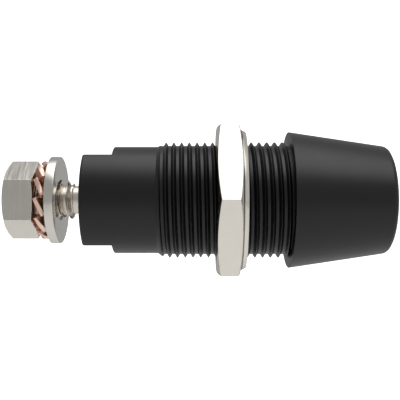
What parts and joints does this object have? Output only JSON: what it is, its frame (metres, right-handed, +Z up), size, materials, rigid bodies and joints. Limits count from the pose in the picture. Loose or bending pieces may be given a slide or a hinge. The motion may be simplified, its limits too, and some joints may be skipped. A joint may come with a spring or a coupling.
{
  "type": "banana socket",
  "caption": "Panel-mount 4 mm banana socket: tapered black insulated head on a threaded body with hexagon panel nut, and a screw stud with washers and nut for a ring lug.",
  "frame": {"origin": "on the socket's axis, in the plane of the head's rear face, where the panel's front face sits", "axes": "+X along the plug's bore, out of its mouth; +Z up, square to two of the panel nut's flats"},
  "size_m": [0.0391, 0.0174, 0.015],
  "materials": {
    "black_moulding": "smooth moulded polyamide, half gloss",
    "nickel_contact": "turned brass, nickel plated",
    "nickel_nut": "brass, bright nickel plated",
    "steel_washer": "stamped steel, nickel plated",
    "copper_lock_washer": "stamped phosphor bronze, bare",
    "steel_nut": "machined steel, nickel plated"
  },
  "bodies": {
    "socket": {"insulating_body": "black_moulding", "socket_contact": "nickel_contact"},
    "panel_nut": {"panel_nut": "nickel_nut"},
    "terminal_washers": {"plain_washer": "steel_washer", "toothed_lock_washer": "copper_lock_washer"},
    "terminal_nut": {"terminal_nut": "steel_nut"}
  },
  "joints": [
    {"name": "panel_nut_travel", "type": "slide", "parent": "socket", "child": "panel_nut", "axis": [-1, 0, 0], "range_m": [-0.00435, 0.0265]},
    {"name": "washer_travel", "type": "slide", "parent": "socket", "child": "terminal_washers", "axis": [-1, 0, 0], "range_m": [-0.0025, 0.0056]},
    {"name": "terminal_nut_turn", "type": "hinge", "parent": "terminal_washers", "child": "terminal_nut", "pos_m": [-0.0273, 0, 0], "axis": [-1, 0, 0], "range_deg": [-1288, 2882]}
  ],
  "couplings": [
    {"joint": "terminal_nut_turn", "follows": "washer_travel", "rad_per_m": 8976}
  ]
}
